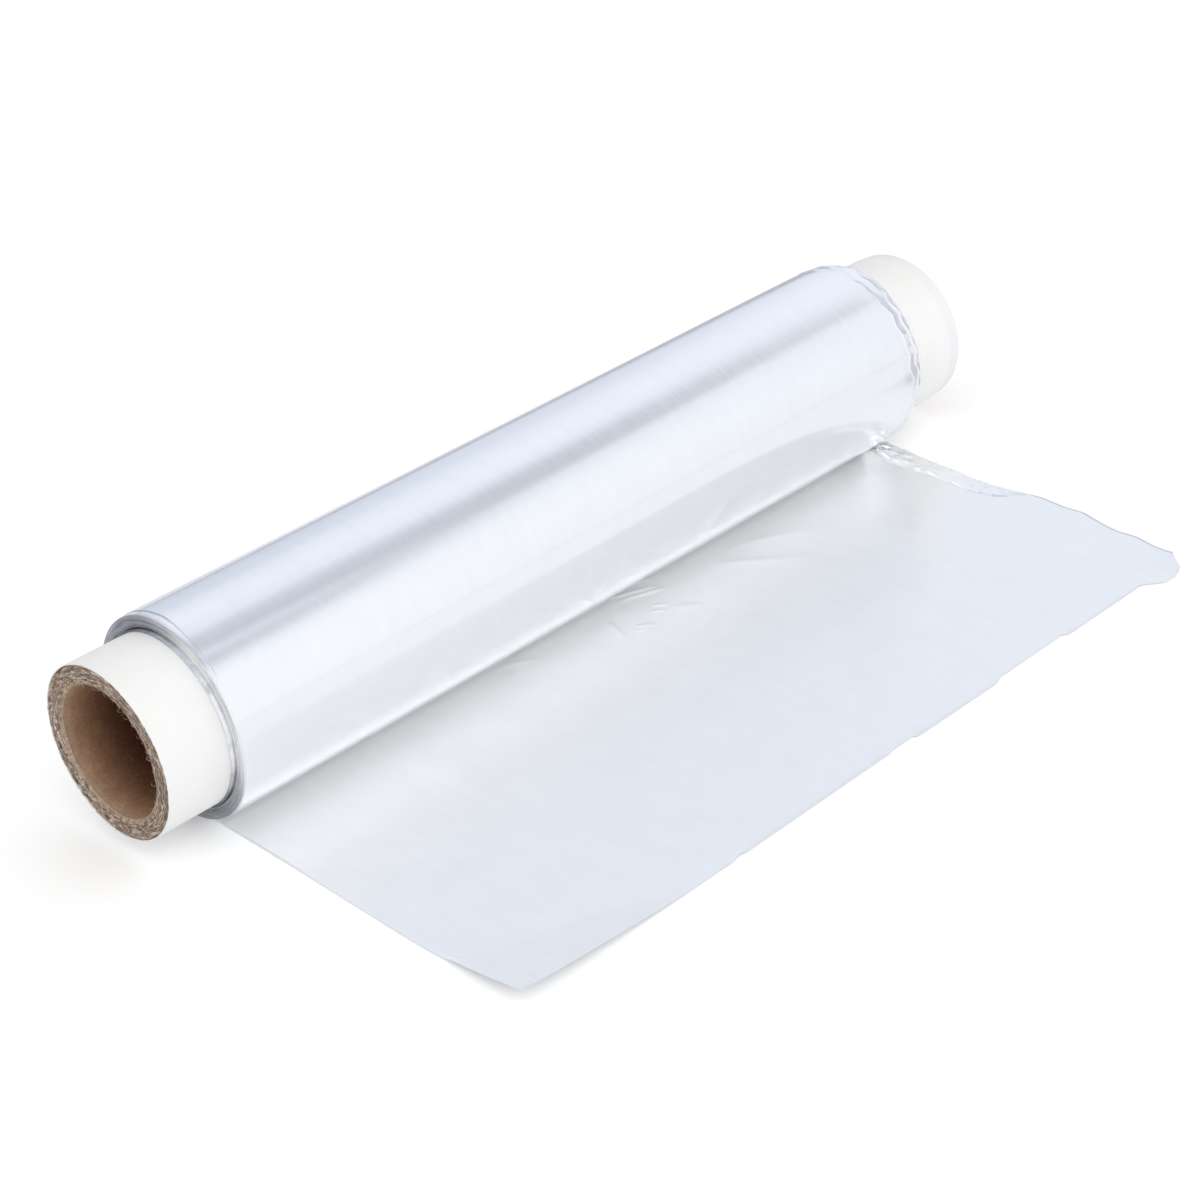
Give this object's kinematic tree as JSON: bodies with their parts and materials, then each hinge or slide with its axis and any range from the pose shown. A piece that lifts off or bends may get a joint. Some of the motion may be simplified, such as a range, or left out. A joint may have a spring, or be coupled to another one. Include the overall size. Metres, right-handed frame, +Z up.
{
  "type": "aluminium foil roll",
  "caption": "Roll of aluminium foil wound on a board core that stands out at both ends, lying down with a loose torn sheet drawn out from under it.",
  "frame": {"origin": "on the floor under the middle of the foil's width, straight below the roll's axis", "axes": "+X along the roll from the near end to the crushed far end, +Z up, and the loose sheet lies towards -Y"},
  "size_m": [0.3479, 0.1759, 0.0646],
  "materials": {
    "kraft_board": "matt, sawn and fibrous at the near end",
    "white_paper": "smooth uncoated paper",
    "foil": "bright rolled foil with soft wrinkles"
  },
  "bodies": {
    "root": {"core_tube": "kraft_board", "core_cover": "white_paper", "foil": "foil"}
  },
  "joints": []
}
